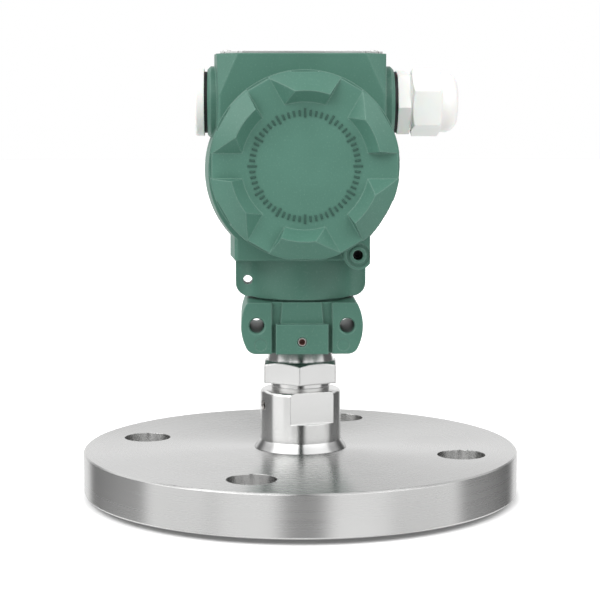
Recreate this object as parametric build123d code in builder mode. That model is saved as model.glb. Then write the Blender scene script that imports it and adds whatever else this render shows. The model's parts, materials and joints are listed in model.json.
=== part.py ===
"""Flange pressure transmitter: flush diaphragm flange, sensor neck and a two-cover field housing.

Millimetres. The origin is on the flange's axis at the raised face, +Z is up, the front cover faces -Y
and the cable gland points along +X. Turning angles round the Z axis are measured from the front.
"""

import os
from math import cos, radians, sin, sqrt, tan

from build123d import *

# Process flange
flange_radius = 82.5
rim_thickness = 16.0
raised_face_radius = 51.0
raised_face_height = 2.0
rim_chamfer = 0.6
bolt_circle_radius = 62.5
bolt_hole_radius = 9.0
bolt_count = 4
bolt_hole_turn = -17.6
diaphragm_radius = 29.0
diaphragm_thickness = 0.4
diaphragm_wave = 0.5
diaphragm_waves = 4
diaphragm_rim = 3.0
oil_gap = 1.0
oil_channel_radius = 1.5

# Process adapter between the flange and the sensor
adapter_radius = 15.4
adapter_height = 22.5
adapter_edge = 1.5
adapter_flare_radius = 17.6
adapter_flare_height = 3.4
adapter_spigot_radius = 11.0
adapter_spigot_depth = 9.0
adapter_flat_distance = 12.8
adapter_flat_height = 11.8
adapter_flat_turn = 18.2
socket_depth = 13.5
fill_port_radius = 2.0
fill_port_drop = 5.8
fill_port_turn = -68.8
fill_screw_length = 3.6
fill_screw_recess = 0.6

# Sensor body
sensor_thread_radius = 10.0
sensor_hex_flats = 27.0
sensor_hex_height = 8.0
sensor_hex_lift = 3.1
sensor_hex_turn = -2.8
hex_chamfer_rise = 1.3
relief_radius = 11.1
seal_ring_height = 1.1
seal_ring_radius = 11.0
cone_foot_radius = 12.7
stem_radius = 11.5
housing_lift = 4.8
stem_engagement = 17.0
cell_radius = 8.2
cell_height = 11.5
cell_pin_radius = 0.45
cell_pin_length = 7.0
cell_pin_count = 5
cell_pin_circle = 3.4
cell_seal_radius = 0.8
cell_seat_lift = 2.6
retainer_height = 4.0
retainer_bore = 5.4
neck_oring_radius = 1.0
neck_oring_lift = 7.5

# Clearances
fit_clearance = 0.05
turning_clearance = 0.06
thread_clearance = 0.3
seal_clearance = 0.3

# Housing casting
block_height = 19.1
block_half_depth = 20.0
block_foot_half_width = 19.3
block_belly_half_width = 22.5
block_belly_height = 11.6
block_top_half_width = 20.3
block_corner = 4.0
ear_inner_x = 11.2
pad_half_width = 9.7
pad_height = 11.1
pad_step = 0.9
panel_half_width = 8.0
panel_taper = 0.75
panel_step = 1.0
front_recess_depth = 2.2
bracket_hole_x = 16.7
bracket_hole_height = 10.5
bracket_hole_radius = 2.75
bracket_hole_chamfer = 0.5
ejector_mark_x = 15.3
ejector_mark_height = 3.4
ejector_mark_radius = 2.3
ejector_mark_depth = 0.15
waist_radius = 17.0
waist_height = 0.8
neck_radius = 19.0
neck_blend = 7.0
web_half_width = 24.5
web_height = 14.8
web_thickness = 7.0
web_corner = 5.0
tag_hole_radius = 1.75
tag_hole_x = 19.9
tag_hole_height = 6.2
draft_angle = 4.7
lug_half_width = 26.5
lug_half_depth = 22.0
lug_height = 20.0
lug_corner = 1.5
lug_foot_edge = 0.6
drum_radius = 36.0
drum_drop = 3.2
barrel_radius = 33.0
barrel_half_length = 40.0
axis_height = 70.4
boss_radius = 5.2
boss_x = 19.3
boss_drop = 32.1
boss_flat = 4.3
boss_ring_radius = 4.2
boss_ring_depth = 0.6
top_block_half_width = 32.2
top_block_half_depth = 22.0
top_block_height = 39.8
top_corner_width = 7.0
top_corner_depth = 8.0
top_corner_height = 15.6
top_block_edge = 0.8
hub_radius = 13.4
hub_face_x = 34.7
hub_height = 22.1
hub_edge = 1.2
hub_thread_radius = 10.0
hub_bore_length = 19.0

# Chambers inside the housing
cover_thread_radius = 29.6
cover_thread_length = 14.0
chamber_radius = 27.8
mouth_radius = 31.2
mouth_depth = 3.0
front_chamber_depth = 25.0
partition_thickness = 4.0
wire_bore_radius = 8.0
grommet_hole_radius = 5.0
grommet_drop = 20.0

# Screwed covers
cover_ring_radius = 33.5
cover_ring_thickness = 5.0
cover_gap = 0.4
cover_rim_radius = 33.1
cover_rim_height = 11.6
cover_rim_edge = 0.6
cover_skirt_length = 12.0
cover_inner_radius = 26.4
cover_roof = 4.5
cover_groove_radius = 28.2
cover_oring_radius = 1.15
pad_count = 6
pad_rise = 5.5
pad_ridge_radius = 26.0
pad_foot_radius = 22.2
channel_half_width = 4.4
steep_wall_lean = 0.6
channel_end_radius = 32.4
notch_half_width = 4.8
notch_radius = 32.4

# Cover and housing lock screws
lock_screw_radius = 1.75
lock_screw_length = 8.0
lock_screw_recess = 4.4
lock_hole_depth = 16.0
hex_key_radius = 1.15
hex_key_depth = 2.0
neck_screw_height = 4.5
neck_screw_recess = 0.3

# Conduit entries
conduit_thread_length = 10.0
conduit_seal_thickness = 1.2
conduit_seal_radius = 11.4
plug_head_radius = 12.5
plug_head_height = 3.3
plug_dome = 0.5
plug_bore_radius = 6.5
plug_slot_width = 2.0
plug_slot_depth = 1.4
plug_slot_half_length = 8.0
gland_bore_radius = 7.0
gland_hex_radius = 12.7
gland_hex_height = 4.6
gland_hex_turn = -9.3
gland_stub_radius = 10.6
gland_stub_length = 9.0
finger_radius = 9.2
finger_length = 4.5
finger_count = 8
finger_slot = 1.2
nut_gap = 0.9
nut_hex_radius = 13.0
nut_hex_height = 10.8
nut_hex_turn = -41.6
nut_dome_radius = 11.2
nut_dome_height = 6.5
nut_dome_corner = 5.0
nut_opening_radius = 6.6
nut_lip = 2.0
cable_radius = 5.0
seal_sleeve_length = 11.0
seal_collar_length = 1.6

# Electronics and terminals
board_radius = 25.0
board_thickness = 1.6
board_post_radius = 3.0
board_post_height = 6.0
board_post_circle = 20.5
board_post_count = 3
board_screw_radius = 1.25
board_screw_head = 2.6
board_screw_head_height = 1.8
board_screw_length = 6.0
chip_size = 9.0
chip_height = 1.6
capacitor_radius = 3.2
capacitor_height = 7.0
header_length = 15.0
header_width = 5.0
header_height = 6.0
terminal_ways = 3
terminal_pitch = 8.0
terminal_wall = 1.2
terminal_foot = 4.4
terminal_depth = 17.0
terminal_height = 18.0
terminal_base = 3.0
terminal_well_depth = 6.0
terminal_screw_radius = 1.75
terminal_screw_head = 3.0
terminal_screw_head_height = 2.0
terminal_screw_length = 8.0
fixing_screw_length = 5.8
ground_post_radius = 4.5
ground_post_height = 6.0
ground_post_x = 17.0
ground_post_drop = 15.0
ground_screw_length = 5.0
screw_slot_width = 0.8
screw_slot_depth = 0.9
grommet_bore = 3.0
grommet_lip = 1.0
grommet_lip_width = 1.6

# Name plate
plate_thickness = 0.8
plate_margin = 1.4
plate_side_margin = 0.6
rivet_x = 27.5
rivet_radius = 1.9
rivet_height = 1.0
rivet_shank_radius = 1.1
rivet_shank_length = 4.0

# Levels along the Z axis and places that follow from the sizes above
flange_top = raised_face_height + rim_thickness
adapter_top = flange_top + adapter_height
hex_foot = adapter_top + sensor_hex_lift
hex_top = hex_foot + sensor_hex_height
housing_foot = hex_top + housing_lift
block_top = housing_foot + block_height
neck_foot = block_top + waist_height
axis_level = housing_foot + axis_height
hub_level = axis_level + hub_height
housing_top = axis_level + top_block_height
stem_top = housing_foot + stem_engagement
socket_floor = adapter_top - socket_depth
cell_seat = socket_floor + cell_seat_lift + oil_gap
partition_front_y = front_chamber_depth - barrel_half_length
partition_rear_y = partition_front_y + partition_thickness
lug_foot = neck_foot + web_height
terminal_half_length = (terminal_ways * terminal_pitch + terminal_wall) / 2
fixing_x = terminal_half_length + terminal_foot / 2
board_y = partition_front_y - board_post_height

# Seats: local x across, local y up and local z out of the part along the axis of what is fitted there
front_seat = Plane(origin=(0, -barrel_half_length, axis_level), x_dir=(1, 0, 0), z_dir=(0, -1, 0))
rear_seat = Plane(origin=(0, barrel_half_length, axis_level), x_dir=(-1, 0, 0), z_dir=(0, 1, 0))
gland_seat = Plane(origin=(hub_face_x, 0, hub_level), x_dir=(0, 1, 0), z_dir=(1, 0, 0))
plug_seat = Plane(origin=(-hub_face_x, 0, hub_level), x_dir=(0, -1, 0), z_dir=(-1, 0, 0))


def facing(turn):
    """Angle from +X of a direction that lies the given turn from the front, towards +X."""
    return turn - 90.0


def radial_plane(turn, distance, level):
    """Plane that faces out from the Z axis at a turn from the front, its local y up."""
    angle = radians(facing(turn))
    outward = (cos(angle), sin(angle), 0)
    across = (-sin(angle), cos(angle), 0)
    return Plane(origin=(distance * outward[0], distance * outward[1], level), x_dir=across, z_dir=outward)


def side_plane(seat, distance):
    """Plane parallel to a seat, at a distance from the Z axis, with its local y measured from z = 0."""
    return Plane(origin=seat.z_dir * distance, x_dir=seat.x_dir, z_dir=seat.z_dir)


def sector_plane(seat, angle, distance=0.0):
    """Plane that faces out from a seat's axis at an angle in the seat, its local y along that axis."""
    outward = seat.x_dir * cos(radians(angle)) + seat.y_dir * sin(radians(angle))
    return Plane(origin=seat.origin + outward * distance, x_dir=seat.z_dir.cross(outward), z_dir=outward)


def half_section(seat):
    """Plane through a seat's axis: local x is the radius and local y the distance out of the part."""
    return Plane(origin=seat.origin, x_dir=seat.x_dir, z_dir=-seat.y_dir)


def turned(seat, outline, mode=Mode.ADD):
    """Revolve a closed outline of (radius, distance) points round a seat's axis."""
    with BuildSketch(half_section(seat)) as profile:
        with BuildLine():
            Polyline(*outline, close=True)
        make_face()
    revolve(profile.sketch, axis=Axis(seat.origin, seat.z_dir), mode=mode)


def drafted_plan(half_width, half_depth):
    """Corners of a cast block's plan, widest at the parting plane and drafted towards both covers."""
    narrow_half_width = half_width - half_depth * tan(radians(draft_angle))
    right = [(narrow_half_width, -half_depth), (half_width, 0), (narrow_half_width, half_depth)]
    left = [(-x, y) for x, y in reversed(right)]
    return right + left


def finish(builder, label):
    """Name a finished piece and write its file."""
    builder.part.label = label
    export_step(builder.part, f"parts/{label}.step")


def make_ring(seat, label, centre_radius, section_radius, distance):
    """Round-section seal ring on a seat's axis, its centre at a distance out of the part."""
    with BuildPart() as ring:
        with BuildSketch(half_section(seat)):
            with Locations((centre_radius, distance)):
                Circle(section_radius)
        revolve(axis=Axis(seat.origin, seat.z_dir))
    finish(ring, label)


def make_set_screw(seat, label, length, recess):
    """Headless screw with a hexagon socket, its end a recess below the seat."""
    end = seat.offset(-recess)
    with BuildPart() as screw:
        with BuildSketch(end):
            Circle(lock_screw_radius)
        extrude(amount=-length)
        chamfer(screw.edges().filter_by(GeomType.CIRCLE), lock_screw_radius / 6)
        with BuildSketch(end):
            RegularPolygon(hex_key_radius, 6)
        extrude(amount=-hex_key_depth, mode=Mode.SUBTRACT)
    finish(screw, label)


os.makedirs("parts", exist_ok=True)

# Flange: disc with a raised face, bolt holes, a recess for the diaphragm and a socket for the adapter
with BuildPart() as flange:
    with BuildSketch(Plane.XY.offset(raised_face_height)):
        Circle(flange_radius)
    extrude(amount=rim_thickness)
    chamfer(flange.edges().filter_by(GeomType.CIRCLE), rim_chamfer)
    with BuildSketch(Plane.XY):
        Circle(raised_face_radius)
    extrude(amount=raised_face_height)
    with BuildSketch(Plane.XY.offset(raised_face_height)):
        with PolarLocations(bolt_circle_radius, bolt_count, start_angle=facing(bolt_hole_turn)):
            Circle(bolt_hole_radius)
    extrude(amount=rim_thickness, mode=Mode.SUBTRACT)
    with BuildSketch(Plane.XY):
        Circle(diaphragm_radius + fit_clearance)
    extrude(amount=diaphragm_thickness, mode=Mode.SUBTRACT)
    with BuildSketch(Plane.XY.offset(diaphragm_thickness)):
        Circle(diaphragm_radius - diaphragm_rim)
    extrude(amount=oil_gap, mode=Mode.SUBTRACT)
    with BuildSketch(Plane.XY.offset(flange_top)):
        Circle(adapter_spigot_radius + fit_clearance)
    extrude(amount=-adapter_spigot_depth, mode=Mode.SUBTRACT)
    with BuildSketch(Plane.XY):
        Circle(oil_channel_radius)
    extrude(amount=flange_top, mode=Mode.SUBTRACT)
finish(flange, "flange")

# Process diaphragm: thin disc with ring-shaped waves inside its flat welded rim
wave_pitch = (diaphragm_radius - diaphragm_rim) / (diaphragm_waves + 1)
with BuildPart() as diaphragm:
    with BuildSketch(half_section(Plane.XY)):
        with BuildLine():
            lower = [(0, diaphragm_wave)]
            for wave in range(diaphragm_waves):
                lower.append(((wave + 0.5) * wave_pitch, diaphragm_wave))
                lower.append(((wave + 1.0) * wave_pitch, 0))
            lower.append((diaphragm_radius, 0))
            upper = [(radius, level + diaphragm_thickness) for radius, level in reversed(lower)]
            Polyline(*lower, *upper, close=True)
        make_face()
    revolve(axis=Axis.Z)
finish(diaphragm, "process_diaphragm")

# Process adapter: turned collar with a flared foot, two wrench flats and a port at its side
adapter_seat = Plane.XY.offset(flange_top)
with BuildPart() as adapter:
    turned(
        adapter_seat,
        [
            (0, -adapter_spigot_depth),
            (adapter_spigot_radius, -adapter_spigot_depth),
            (adapter_spigot_radius, 0),
            (adapter_flare_radius, 0),
            (adapter_radius, adapter_flare_height),
            (adapter_radius, adapter_height),
            (0, adapter_height),
        ],
    )
    fillet(adapter.edges().filter_by(GeomType.CIRCLE).group_by(Axis.Z)[-1], adapter_edge)
    for turn in (adapter_flat_turn, adapter_flat_turn + 180):
        with BuildSketch(radial_plane(turn, adapter_flat_distance, adapter_top - adapter_flat_height / 2)):
            Rectangle(2 * adapter_flare_radius, adapter_flat_height)
        extrude(amount=adapter_flare_radius, mode=Mode.SUBTRACT)
    with BuildSketch(Plane.XY.offset(adapter_top)):
        Circle(sensor_thread_radius + fit_clearance)
    extrude(amount=-socket_depth, mode=Mode.SUBTRACT)
    with BuildSketch(Plane.XY.offset(flange_top - adapter_spigot_depth)):
        Circle(oil_channel_radius)
    extrude(amount=adapter_spigot_depth + adapter_height, mode=Mode.SUBTRACT)
    with BuildSketch(radial_plane(fill_port_turn, adapter_radius, adapter_top - fill_port_drop)):
        Circle(fill_port_radius)
    extrude(amount=sensor_thread_radius - adapter_radius, mode=Mode.SUBTRACT)
finish(adapter, "process_adapter")

# Screw that closes the adapter's side port
fill_port_level = adapter_top - fill_port_drop
fill_screw_end = radial_plane(fill_port_turn, adapter_radius - fill_screw_recess, fill_port_level)
with BuildPart() as fill_screw:
    with BuildSketch(fill_screw_end):
        Circle(fill_port_radius - fit_clearance)
    extrude(amount=-fill_screw_length)
    chamfer(fill_screw.edges().filter_by(GeomType.CIRCLE), fill_port_radius / 8)
    with BuildSketch(fill_screw_end):
        RegularPolygon(hex_key_radius, 6)
    extrude(amount=-fill_screw_length / 2, mode=Mode.SUBTRACT)
finish(fill_screw, "fill_screw")

# Steel sealing washer between the adapter and the sensor's shoulder
with BuildPart() as adapter_seal:
    with BuildSketch(Plane.XY.offset(adapter_top)):
        Circle(seal_ring_radius)
        Circle(sensor_thread_radius + fit_clearance, mode=Mode.SUBTRACT)
    extrude(amount=seal_ring_height)
finish(adapter_seal, "adapter_seal")

# Sensor body: threaded stem, chamfered hexagon, cone and the long stem that carries the housing
sensor_seat = Plane.XY.offset(hex_foot)
hex_corner = sensor_hex_flats / sqrt(3)
hex_inner = sensor_hex_flats / 2 - 0.2
groove_radius = stem_radius - 2 * neck_oring_radius + turning_clearance
groove_half_height = neck_oring_radius + fit_clearance
oring_level = housing_foot + neck_oring_lift
with BuildPart() as sensor:
    with BuildSketch(sensor_seat):
        RegularPolygon(hex_corner, 6, rotation=facing(sensor_hex_turn))
    extrude(amount=sensor_hex_height)
    turned(
        sensor_seat,
        [
            (0, 0),
            (hex_corner + 0.2, 0),
            (hex_corner + 0.2, sensor_hex_height - hex_chamfer_rise),
            (hex_inner, sensor_hex_height),
            (0, sensor_hex_height),
        ],
        Mode.INTERSECT,
    )
    turned(
        Plane.XY,
        [
            (0, socket_floor + oil_gap),
            (sensor_thread_radius, socket_floor + oil_gap),
            (sensor_thread_radius, adapter_top + seal_ring_height),
            (relief_radius, adapter_top + seal_ring_height),
            (relief_radius, hex_foot),
            (stem_radius, hex_foot),
            (cone_foot_radius, hex_top),
            (stem_radius, housing_foot - fit_clearance),
            (stem_radius, oring_level - groove_half_height),
            (groove_radius, oring_level - groove_half_height),
            (groove_radius, oring_level + groove_half_height),
            (stem_radius, oring_level + groove_half_height),
            (stem_radius, stem_top),
            (0, stem_top),
        ],
    )
    with BuildSketch(Plane.XY.offset(stem_top)):
        Circle(cell_radius + fit_clearance)
    extrude(amount=cell_seat - stem_top, mode=Mode.SUBTRACT)
    with BuildSketch(Plane.XY.offset(cell_seat)):
        Circle(oil_channel_radius)
    extrude(amount=socket_floor - cell_seat, mode=Mode.SUBTRACT)
finish(sensor, "sensor_body")

make_ring(
    Plane.XY, "neck_oring", groove_radius + neck_oring_radius, neck_oring_radius - fit_clearance, oring_level
)

# Pressure cell: sealed steel can with its glass-sealed pins
cell_ring_centre = cell_radius - 2 * cell_seal_radius
cell_foot = cell_seat + 2 * cell_seal_radius
with BuildPart() as cell:
    with BuildSketch(Plane.XY.offset(cell_foot)):
        Circle(cell_radius)
    extrude(amount=cell_height)
    with BuildSketch(Plane.XY.offset(cell_foot + cell_height)):
        with PolarLocations(cell_pin_circle, cell_pin_count):
            Circle(cell_pin_radius)
    extrude(amount=cell_pin_length)
finish(cell, "pressure_cell")

make_ring(
    Plane.XY, "cell_oring", cell_ring_centre, cell_seal_radius - fit_clearance / 2, cell_seat + cell_seal_radius
)

# Retainer ring that holds the pressure cell down
with BuildPart() as retainer:
    with BuildSketch(Plane.XY.offset(cell_foot + cell_height)):
        Circle(cell_radius)
        Circle(retainer_bore, mode=Mode.SUBTRACT)
    extrude(amount=retainer_height)
    with BuildSketch(Plane.XY.offset(cell_foot + cell_height + retainer_height)):
        Rectangle(2 * cell_radius, 2 * cell_pin_radius)
    extrude(amount=-retainer_height / 2, mode=Mode.SUBTRACT)
finish(retainer, "cell_retainer")

# Neck of the housing: a round post blended into a thin web on each side, with rounded lower corners
neck_height = web_height + lug_height / 2
with BuildPart() as neck:
    with BuildSketch(Plane.XY.offset(neck_foot)) as neck_outline:
        Circle(neck_radius)
        Rectangle(2 * web_half_width, web_thickness)
        fillet(neck_outline.vertices().filter_by(lambda corner: abs(corner.X) < neck_radius), neck_blend)
    extrude(amount=neck_height)
    with BuildSketch(side_plane(front_seat, neck_radius)):
        with Locations((0, neck_foot + neck_height)):
            RectangleRounded(2 * web_half_width, 2 * neck_height, web_corner)
    extrude(amount=-2 * neck_radius, mode=Mode.INTERSECT)

# Lugs of the housing: a block under the drum, drafted from the parting plane
with BuildPart() as lugs:
    with BuildSketch(Plane.XY.offset(lug_foot)):
        with BuildLine():
            Polyline(*drafted_plan(lug_half_width, lug_half_depth), close=True)
        make_face()
    extrude(amount=lug_height)
    lug_corners = lugs.edges().filter_by(Axis.Z).filter_by(lambda edge: abs(edge.center().Y) > lug_corner)
    fillet(lug_corners, lug_corner)
    fillet(lugs.edges().group_by(Axis.Z)[0], lug_foot_edge)

# Drum of the housing: the round middle between the covers, its centre a little under their axis
drum_seat = Plane(origin=(0, 0, axis_level - drum_drop), x_dir=front_seat.x_dir, z_dir=front_seat.z_dir)
drum_end_radius = drum_radius - lug_half_depth * tan(radians(draft_angle))
with BuildPart() as drum:
    turned(
        drum_seat,
        [
            (0, -lug_half_depth),
            (drum_end_radius, -lug_half_depth),
            (drum_radius, 0),
            (drum_end_radius, lug_half_depth),
            (0, lug_half_depth),
        ],
    )
    split(bisect_by=Plane.XY.offset(lug_foot + lug_foot_edge), keep=Keep.TOP)

# Housing: one casting with a bracket block, neck, lugs, drum, barrel, top block and two conduit hubs
with BuildPart() as housing:
    top_plan = drafted_plan(top_block_half_width, top_block_half_depth)
    with BuildSketch(Plane.XY.offset(axis_level)):
        with BuildLine():
            Polyline(*top_plan, close=True)
        make_face()
    extrude(amount=top_block_height)
    corner_x = top_plan[0][0]
    for side_x in (1, -1):
        for side_y in (1, -1):
            corner = Vector(side_x * corner_x, side_y * top_block_half_depth, 0)
            low = corner + Vector(0, 0, housing_top - top_corner_height)
            inner_x = corner + Vector(-side_x * top_corner_width, 0, housing_top)
            inner_y = corner + Vector(0, -side_y * top_corner_depth, housing_top)
            outward = (inner_x - low).cross(inner_y - low) * (side_x * side_y)
            split(bisect_by=Plane(origin=low, z_dir=outward), keep=Keep.BOTTOM)
    block_corners = housing.edges().filter_by(Plane.XY, reverse=True)
    fillet(block_corners.filter_by(lambda edge: abs(edge.center().Y) > top_block_edge), top_block_edge)

    # Barrel, conduit hubs, lugs, drum, neck and waist
    add(lugs.part)
    add(drum.part)
    add(neck.part)
    with BuildSketch(front_seat):
        Circle(barrel_radius)
    extrude(amount=-2 * barrel_half_length)
    for seat in (gland_seat, plug_seat):
        turned(
            seat,
            [
                (0, -hub_face_x),
                (hub_radius, -hub_face_x),
                (hub_radius, -hub_edge),
                (hub_radius - hub_edge, 0),
                (0, 0),
            ],
        )
    with BuildSketch(Plane.XY.offset(housing_foot)):
        Circle(waist_radius)
    extrude(amount=block_height + waist_height)

    # Bosses for the cover lock screws, one beside each cover
    for seat in (front_seat, rear_seat):
        with BuildSketch(seat):
            with Locations((boss_x, -boss_drop)):
                Circle(boss_radius)
            with Locations((boss_x, boss_radius - boss_drop)):
                Rectangle(2 * boss_radius, 2 * boss_radius)
            with Locations((boss_x + boss_flat + boss_radius, -boss_drop)):
                Rectangle(2 * boss_radius, 4 * boss_radius, mode=Mode.SUBTRACT)
        extrude(amount=-barrel_half_length)

    # Bracket block with its ears, centre pad and grooves on both faces
    with BuildSketch(side_plane(front_seat, block_half_depth)) as block_outline:
        with BuildLine():
            Line((-block_foot_half_width, housing_foot), (block_foot_half_width, housing_foot))
            ThreePointArc(
                (block_foot_half_width, housing_foot),
                (block_belly_half_width, housing_foot + block_belly_height),
                (block_top_half_width, block_top),
            )
            Line((block_top_half_width, block_top), (-block_top_half_width, block_top))
            ThreePointArc(
                (-block_top_half_width, block_top),
                (-block_belly_half_width, housing_foot + block_belly_height),
                (-block_foot_half_width, housing_foot),
            )
        make_face()
        fillet(block_outline.vertices().group_by(Axis.Y)[0], block_corner)
        fillet(block_outline.vertices().group_by(Axis.Y)[-1], lug_corner)
    extrude(amount=-2 * block_half_depth)
    for seat in (front_seat, rear_seat):
        with BuildSketch(side_plane(seat, block_half_depth)):
            with Locations((0, housing_foot + block_height / 2)):
                Rectangle(2 * ear_inner_x, block_height)
        extrude(amount=-front_recess_depth, mode=Mode.SUBTRACT)
        with BuildSketch(side_plane(seat, block_half_depth - front_recess_depth)):
            with Locations((0, housing_foot + pad_height / 2)):
                Rectangle(2 * pad_half_width, pad_height)
        extrude(amount=front_recess_depth + pad_step)
        with BuildSketch(side_plane(seat, block_half_depth - front_recess_depth)):
            with BuildLine():
                Polyline(
                    (-panel_half_width, housing_foot + pad_height),
                    (panel_half_width, housing_foot + pad_height),
                    (panel_half_width - panel_taper, block_top),
                    (panel_taper - panel_half_width, block_top),
                    close=True,
                )
            make_face()
        extrude(amount=panel_step)
    with BuildSketch(side_plane(front_seat, block_half_depth)):
        for hole_x in (-bracket_hole_x, bracket_hole_x):
            with Locations((hole_x, housing_foot + bracket_hole_height)):
                Circle(bracket_hole_radius)
    extrude(amount=-2 * block_half_depth, mode=Mode.SUBTRACT)
    mouths = housing.edges().filter_by(GeomType.CIRCLE).filter_by(
        lambda edge: abs(edge.radius - bracket_hole_radius) < 0.001
    )
    chamfer(mouths, bracket_hole_chamfer)
    for seat in (front_seat, rear_seat):
        with BuildSketch(side_plane(seat, block_half_depth)):
            for mark_x in (-ejector_mark_x, ejector_mark_x):
                with Locations((mark_x, housing_foot + ejector_mark_height)):
                    Circle(ejector_mark_radius)
        extrude(amount=-ejector_mark_depth, mode=Mode.SUBTRACT)

    # Chambers with their threads, on both sides of the partition
    rear_chamber_depth = 2 * barrel_half_length - front_chamber_depth - partition_thickness
    for seat, depth in ((front_seat, front_chamber_depth), (rear_seat, rear_chamber_depth)):
        turned(
            seat,
            [
                (0, 0),
                (mouth_radius, 0),
                (mouth_radius, -mouth_depth),
                (cover_thread_radius, -mouth_depth),
                (cover_thread_radius, -cover_thread_length),
                (chamber_radius, -cover_thread_length),
                (chamber_radius, -depth),
                (0, -depth),
            ],
            Mode.SUBTRACT,
        )
    with BuildSketch(side_plane(front_seat, -partition_front_y)):
        with Locations((0, axis_level - grommet_drop)):
            Circle(grommet_hole_radius + fit_clearance)
    extrude(amount=-partition_thickness, mode=Mode.SUBTRACT)

    # Conduit entries, sensor bore and wire bore
    for seat in (gland_seat, plug_seat):
        with BuildSketch(seat):
            Circle(hub_thread_radius + thread_clearance)
        extrude(amount=-hub_bore_length, mode=Mode.SUBTRACT)
    with BuildSketch(Plane.XY.offset(housing_foot)):
        Circle(stem_radius + turning_clearance)
    extrude(amount=stem_engagement + seal_clearance, mode=Mode.SUBTRACT)
    with BuildSketch(Plane.XY.offset(housing_foot)):
        Circle(wire_bore_radius)
    extrude(amount=axis_height - chamber_radius / 2, mode=Mode.SUBTRACT)

    # Holes for the lock screws and for a wire tag
    with BuildSketch(side_plane(front_seat, block_half_depth + pad_step)):
        with Locations((0, housing_foot + neck_screw_height)):
            Circle(lock_screw_radius + fit_clearance)
    extrude(amount=-(block_half_depth + pad_step - stem_radius), mode=Mode.SUBTRACT)
    for seat in (front_seat, rear_seat):
        with BuildSketch(seat):
            with Locations((boss_x, -boss_drop)):
                Circle(lock_screw_radius + fit_clearance)
        extrude(amount=-lock_hole_depth, mode=Mode.SUBTRACT)
        with BuildSketch(seat):
            with Locations((boss_x, -boss_drop)):
                Circle(boss_ring_radius)
                Circle(lock_screw_radius + 2 * boss_ring_depth, mode=Mode.SUBTRACT)
        extrude(amount=-boss_ring_depth, mode=Mode.SUBTRACT)
    with BuildSketch(side_plane(front_seat, neck_radius)):
        with Locations((-tag_hole_x, neck_foot + tag_hole_height)):
            Circle(tag_hole_radius)
    extrude(amount=-2 * neck_radius, mode=Mode.SUBTRACT)

    # Posts for the circuit board and for the earth screw, with the holes for the screws inside
    with BuildSketch(side_plane(front_seat, -partition_front_y)):
        with Locations((0, axis_level)):
            with PolarLocations(board_post_circle, board_post_count, start_angle=90):
                Circle(board_post_radius)
    extrude(amount=board_post_height)
    with BuildSketch(side_plane(front_seat, -board_y)):
        with Locations((0, axis_level)):
            with PolarLocations(board_post_circle, board_post_count, start_angle=90):
                Circle(board_screw_radius + fit_clearance)
    extrude(amount=-board_screw_length, mode=Mode.SUBTRACT)
    with BuildSketch(side_plane(rear_seat, partition_rear_y)):
        with Locations((ground_post_x, axis_level - ground_post_drop)):
            Circle(ground_post_radius)
    extrude(amount=ground_post_height)
    with BuildSketch(side_plane(rear_seat, partition_rear_y + ground_post_height)):
        with Locations((ground_post_x, axis_level - ground_post_drop)):
            Circle(terminal_screw_radius + fit_clearance)
    extrude(amount=-ground_screw_length, mode=Mode.SUBTRACT)
    with BuildSketch(side_plane(rear_seat, partition_rear_y)):
        with Locations((-fixing_x, axis_level), (fixing_x, axis_level)):
            Circle(board_screw_radius + fit_clearance)
    extrude(amount=terminal_base - fixing_screw_length, mode=Mode.SUBTRACT)
    with BuildSketch(Plane.XY.offset(housing_top)):
        with Locations((-rivet_x, 0), (rivet_x, 0)):
            Circle(rivet_shank_radius + fit_clearance)
    extrude(amount=-rivet_shank_length, mode=Mode.SUBTRACT)
finish(housing, "housing")

# Lock screws of the housing and of both covers
neck_screw_seat = side_plane(front_seat, block_half_depth + pad_step).offset(0)
neck_screw_seat.origin = neck_screw_seat.origin + Vector(0, 0, housing_foot + neck_screw_height)
neck_screw_length = block_half_depth + pad_step - neck_screw_recess - stem_radius - seal_clearance
make_set_screw(neck_screw_seat, "housing_lock_screw", neck_screw_length, neck_screw_recess)
for seat, label in ((front_seat, "front_cover_lock_screw"), (rear_seat, "rear_cover_lock_screw")):
    boss_origin = seat.origin + seat.x_dir * boss_x - seat.y_dir * boss_drop
    boss_seat = Plane(origin=boss_origin, x_dir=seat.x_dir, z_dir=seat.z_dir)
    make_set_screw(boss_seat, label, lock_screw_length, lock_screw_recess)


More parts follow.
